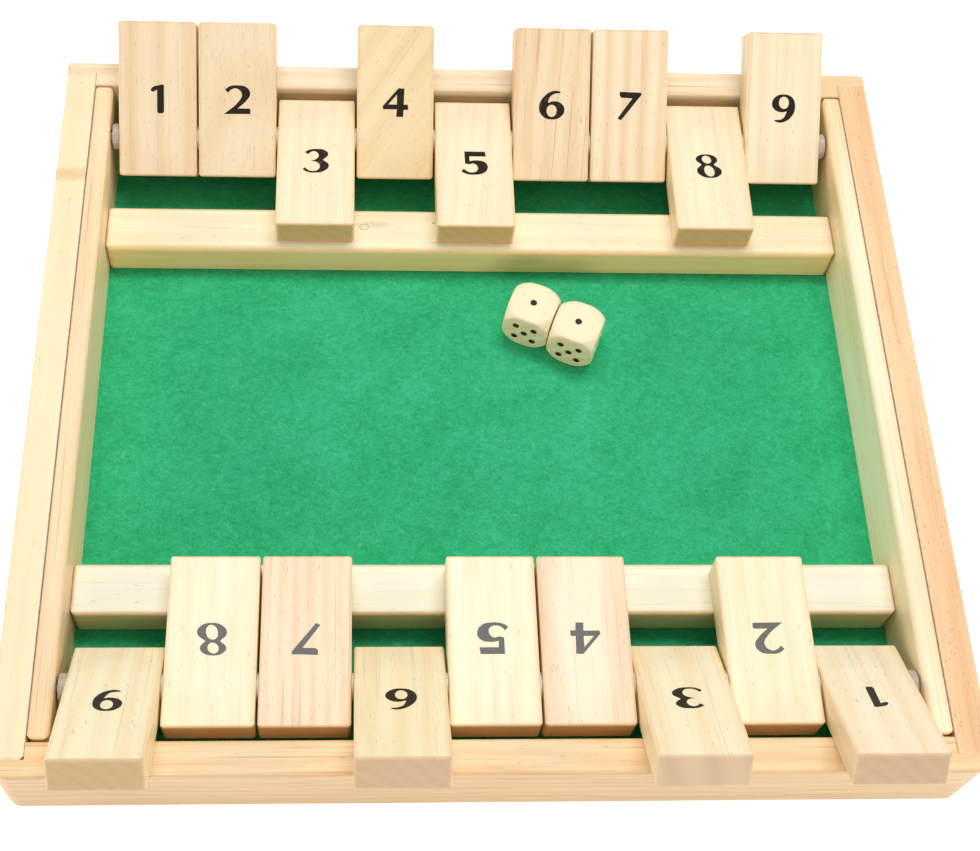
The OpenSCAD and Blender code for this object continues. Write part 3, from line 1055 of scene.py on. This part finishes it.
CAMERA_PLACE = (-0.0402545, -0.2422252, 0.4584269)
CAMERA_TURN = (0.5129, -0.0506, -0.0213)
SENSOR_WIDTH = 36.0
LENS = 58.98
SHIFT_X = 0.0510
SHIFT_Y = -0.0464

camera_data = bpy.data.cameras.new("camera")
camera_data.sensor_fit = "HORIZONTAL"
camera_data.sensor_width = SENSOR_WIDTH
camera_data.lens = LENS
camera_data.shift_x = SHIFT_X
camera_data.shift_y = SHIFT_Y
camera_data.clip_start = 0.01
camera_data.clip_end = 50
camera = bpy.data.objects.new("camera", camera_data)
camera.location = CAMERA_PLACE
camera.rotation_euler = Euler(CAMERA_TURN, "XYZ")
bpy.context.scene.collection.objects.link(camera)
bpy.context.scene.camera = camera


# ---------------------------------------------------------------- floor, world and lamps

FLOOR_HALF = 6.0
FLOOR_COLOUR = (0.9, 0.9, 0.9, 1.0)
FLOOR_BACKGROUND = 0.68
WHITE = (1.0, 1.0, 1.0, 1.0)
AMBIENT = 0.33
AMBIENT_COLOUR = (1.0, 0.97, 0.91, 1.0)
SMALL_BOX = (0.6, 0.5)
WARM_WHITE = (1.0, 0.95, 0.88)


def seen_directly(tree):
    """1 for rays that show the background: straight from the camera, off gloss or through glass."""
    rays = tree.nodes.new("ShaderNodeLightPath").outputs
    first = maths(tree, "MAXIMUM", rays["Is Camera Ray"], rays["Is Glossy Ray"])
    return maths(tree, "MAXIMUM", first, rays["Is Transmission Ray"])


def make_floor():
    mesh = bpy.data.meshes.new("floor")
    corners = [(-FLOOR_HALF, -FLOOR_HALF, 0), (FLOOR_HALF, -FLOOR_HALF, 0)]
    corners += [(FLOOR_HALF, FLOOR_HALF, 0), (-FLOOR_HALF, FLOOR_HALF, 0)]
    mesh.from_pydata(corners, [], [(0, 1, 2, 3)])
    material = bpy.data.materials.new("White floor")
    material.use_nodes = True
    tree = material.node_tree
    tree.nodes.clear()
    matte = add_node(tree, "ShaderNodeBsdfDiffuse", {"Color": FLOOR_COLOUR})
    lift = maths(tree, "MULTIPLY", seen_directly(tree), FLOOR_BACKGROUND)
    glow = add_node(tree, "ShaderNodeEmission", {"Strength": lift})
    both = add_node(tree, "ShaderNodeAddShader", {0: matte.outputs[0], 1: glow.outputs[0]})
    add_node(tree, "ShaderNodeOutputMaterial", {"Surface": both.outputs[0]})
    mesh.materials.append(material)
    floor = bpy.data.objects.new("floor", mesh)
    bpy.context.scene.collection.objects.link(floor)


def make_world():
    world = bpy.data.worlds.new("Studio")
    world.use_nodes = True
    tree = world.node_tree
    tree.nodes.clear()
    soft = add_node(tree, "ShaderNodeBackground", {"Color": AMBIENT_COLOUR, "Strength": AMBIENT})
    white = add_node(tree, "ShaderNodeBackground", {"Color": WHITE, "Strength": 1.0})
    shown = add_node(
        tree, "ShaderNodeMixShader", {0: seen_directly(tree), 1: soft.outputs[0], 2: white.outputs[0]}
    )
    add_node(tree, "ShaderNodeOutputWorld", {"Surface": shown.outputs[0]})
    bpy.context.scene.world = world


def add_softbox(name, place, size, watts, colour):
    """A rectangular softbox that faces the tray."""
    lamp = bpy.data.lights.new(name, "AREA")
    lamp.shape = "RECTANGLE"
    lamp.size, lamp.size_y = size
    lamp.energy = watts
    lamp.color = colour
    holder = bpy.data.objects.new(name, lamp)
    holder.location = place
    holder.rotation_euler = Vector(place).to_track_quat("Z", "Y").to_euler()
    bpy.context.scene.collection.objects.link(holder)


make_floor()
make_world()
add_softbox("strip softbox overhead", (0.1, 0.39, 1.25), (1.0, 0.34), watts=9.6, colour=(1.0, 0.985, 0.96))
add_softbox("softbox in front", (0.1, -1.25, 0.4), SMALL_BOX, watts=4.4, colour=(1.0, 0.94, 0.85))
add_softbox("softbox on the left", (-1.5, 0.1, 0.4), SMALL_BOX, watts=6.6, colour=WARM_WHITE)
add_softbox("softbox on the right", (1.5, 0.1, 0.4), SMALL_BOX, watts=5.6, colour=WARM_WHITE)
bpy.context.scene.view_settings.view_transform = "Standard"
